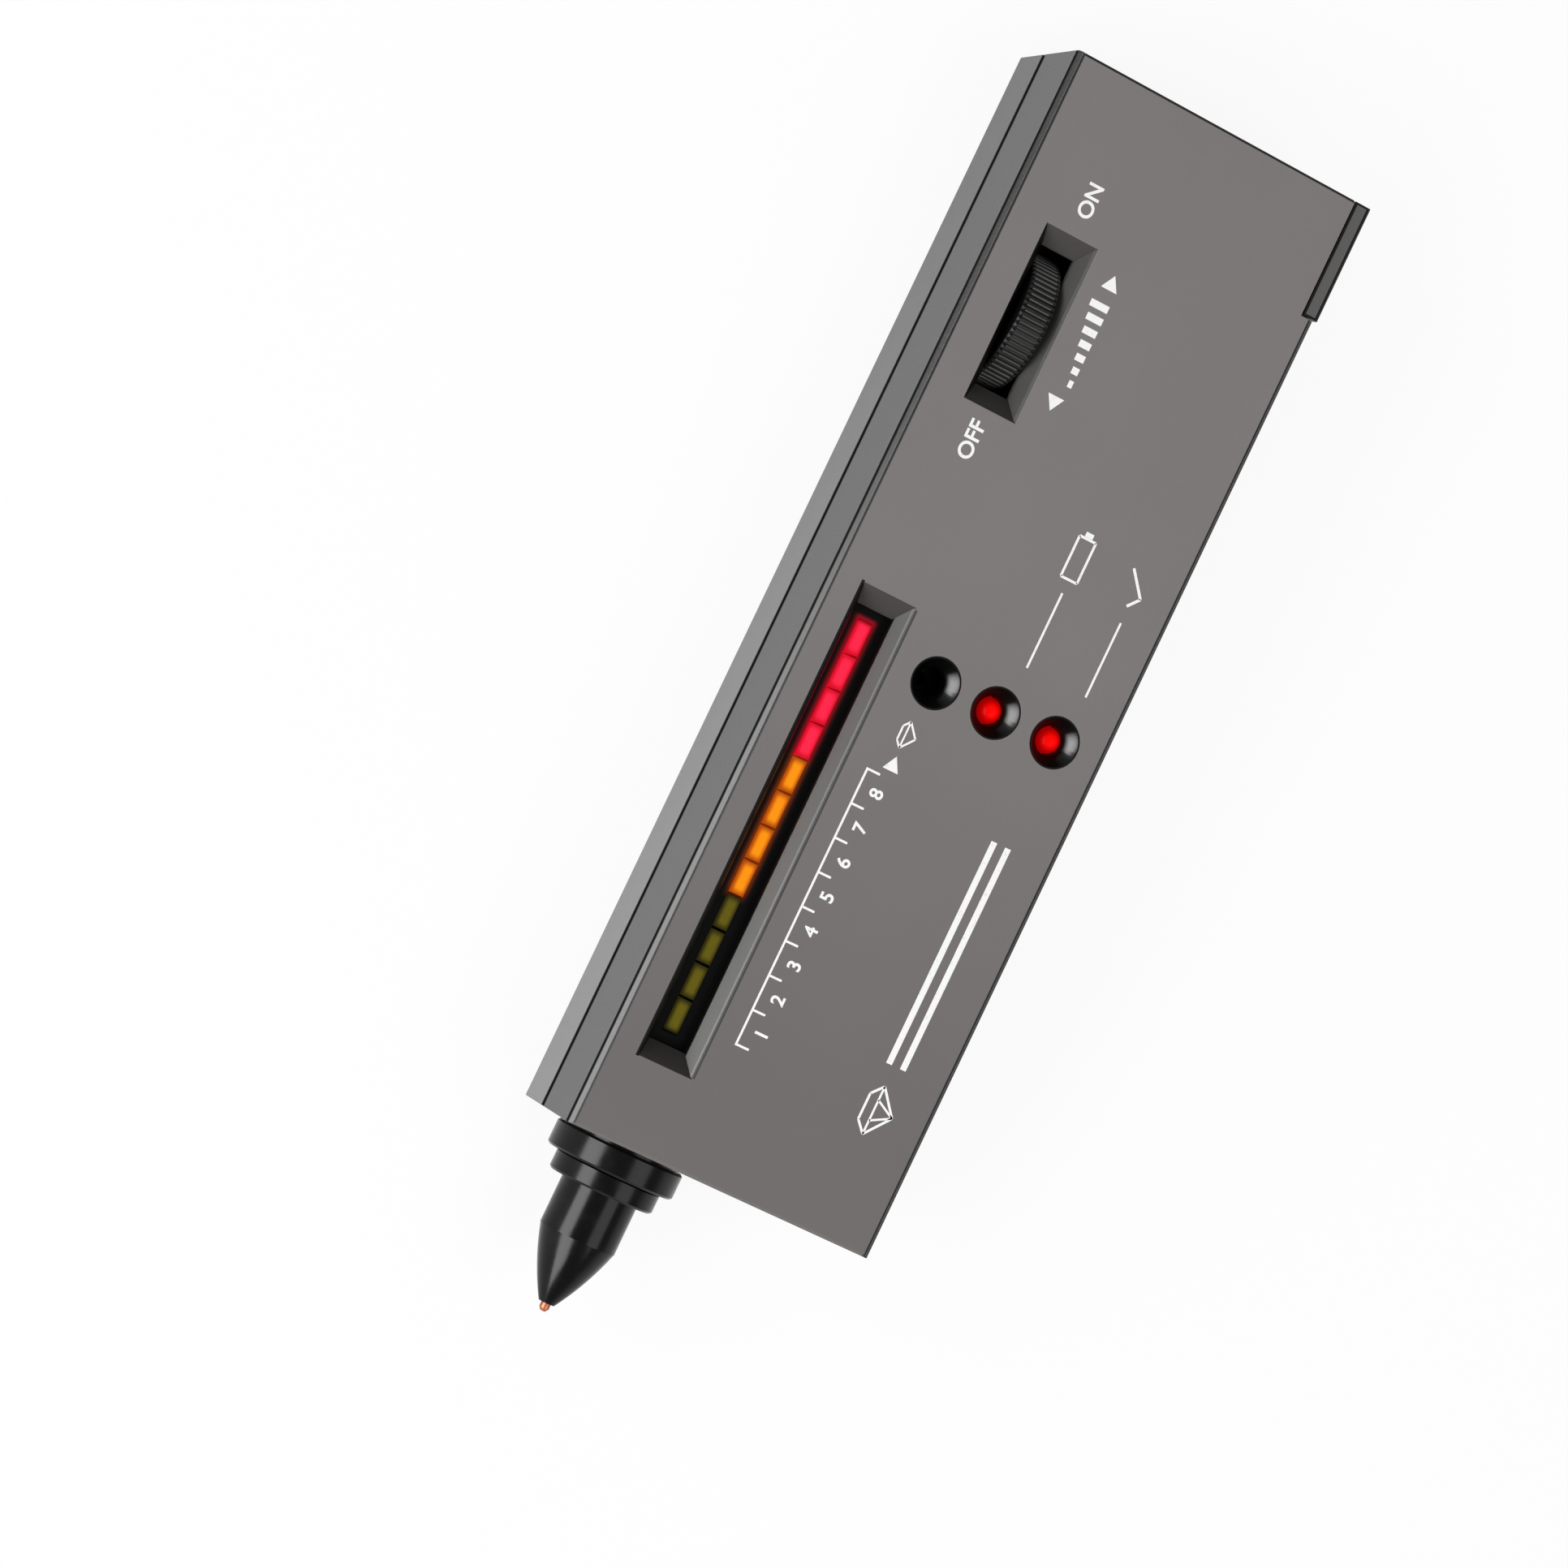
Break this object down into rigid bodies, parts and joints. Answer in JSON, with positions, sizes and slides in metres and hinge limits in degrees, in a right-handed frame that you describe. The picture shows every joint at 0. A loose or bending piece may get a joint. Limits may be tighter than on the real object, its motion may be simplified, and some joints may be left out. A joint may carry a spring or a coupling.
{
  "type": "diamond tester",
  "caption": "Handheld thermal diamond tester: flat two-shell case with a lamp bar, ribbed volume wheel, signal lamps, sliding battery cover and a sprung copper probe in a black nose.",
  "frame": {"origin": "centre of the tester's footprint, on the plane of its back, as it lies on a table", "axes": "+Z out of the face, +Y towards the battery end, with the nose and probe pointing along -Y, +X to the right as the face is seen with the nose down"},
  "size_m": [0.0476, 0.1825, 0.023],
  "materials": {
    "case_plastic": "fine matte moulding texture, warm grey",
    "rear_plastic": "fine matte moulding texture, grey",
    "cover_plastic": "fine matte moulding texture, darker grey",
    "nose_plastic": "glossy black",
    "wheel_plastic": "satin black with moulded ribs",
    "bezel_plastic": "glossy black",
    "holder_plastic": "matt black",
    "green_lamp": "tinted diffusing lamp, unlit",
    "amber_lamp": "tinted diffusing lamp, lit",
    "red_lamp": "tinted diffusing lamp, lit",
    "dome_red": "clear red dome, lit",
    "copper": "bare copper",
    "ceramic": "matt",
    "spring_steel": "bright drawn wire",
    "screw_steel": "zinc plated",
    "shaft_metal": "turned",
    "ring_brass": "turned",
    "plug_plastic": "natural",
    "board_laminate": "green solder mask",
    "chip_resin": "moulded epoxy",
    "buzzer_plastic": "moulded",
    "pot_plastic": "moulded",
    "sleeve_blue": "shrink sleeve",
    "resistor_coat": "lacquered",
    "trimmer_plastic": "moulded",
    "jacket_steel": "lacquered sheet, plain",
    "cell_stack": "wrapped cells with closed ends",
    "snap_vinyl": "soft vinyl",
    "red_vinyl": "wire insulation",
    "black_vinyl": "wire insulation",
    "white_vinyl": "wire insulation",
    "terminal_metal": "nickel plated",
    "print_white": "printed signs on the face"
  },
  "bodies": {
    "case": {"front_shell": "case_plastic", "rear_shell": "rear_plastic", "case_screws": "screw_steel", "main_board": "board_laminate", "board_screws": "screw_steel", "bar_holder": "holder_plastic", "bar_lamps_green": "green_lamp", "bar_lamps_amber": "amber_lamp", "bar_lamps_red": "red_lamp", "lamp_bezels": "bezel_plastic", "battery_lamp": "dome_red", "ready_lamp": "dome_red", "lamp_spacers": "holder_plastic", "buzzer": "buzzer_plastic", "pot_body": "pot_plastic", "nose_flange": "nose_plastic", "clamp_collar": "nose_plastic", "nose_cone": "nose_plastic", "return_spring": "spring_steel", "spring_plug": "plug_plastic", "plug_ring": "ring_brass", "probe_leads": "white_vinyl", "battery_jacket": "jacket_steel", "battery_cells": "cell_stack", "battery_terminals": "terminal_metal", "battery_snap": "snap_vinyl", "red_lead": "red_vinyl", "black_lead": "black_vinyl", "driver_chip": "chip_resin", "amplifier_chips": "chip_resin", "capacitors": "sleeve_blue", "resistors": "resistor_coat", "trimmer": "trimmer_plastic", "heater_transistor": "chip_resin"},
    "battery_cover": {"battery_cover": "cover_plastic"},
    "volume_wheel": {"volume_wheel": "wheel_plastic", "wheel_screw": "screw_steel", "pot_shaft": "shaft_metal"},
    "probe": {"probe_tip": "copper", "heater_bead": "ceramic"}
  },
  "joints": [
    {"name": "wheel_turn", "type": "hinge", "parent": "case", "child": "volume_wheel", "pos_m": [-0.0132, 0.05595, 0.0132], "axis": [-1, 0, 0], "range_deg": [-150, 150]},
    {"name": "cover_slide", "type": "slide", "parent": "case", "child": "battery_cover", "axis": [0, 1, 0], "range_m": [0, 0.056]},
    {"name": "probe_press", "type": "slide", "parent": "case", "child": "probe", "axis": [0, 1, 0], "range_m": [0, 0.0012], "stiffness_N_per_m": 150, "springref_m": -0.0015, "deforming": ["return_spring"]}
  ]
}
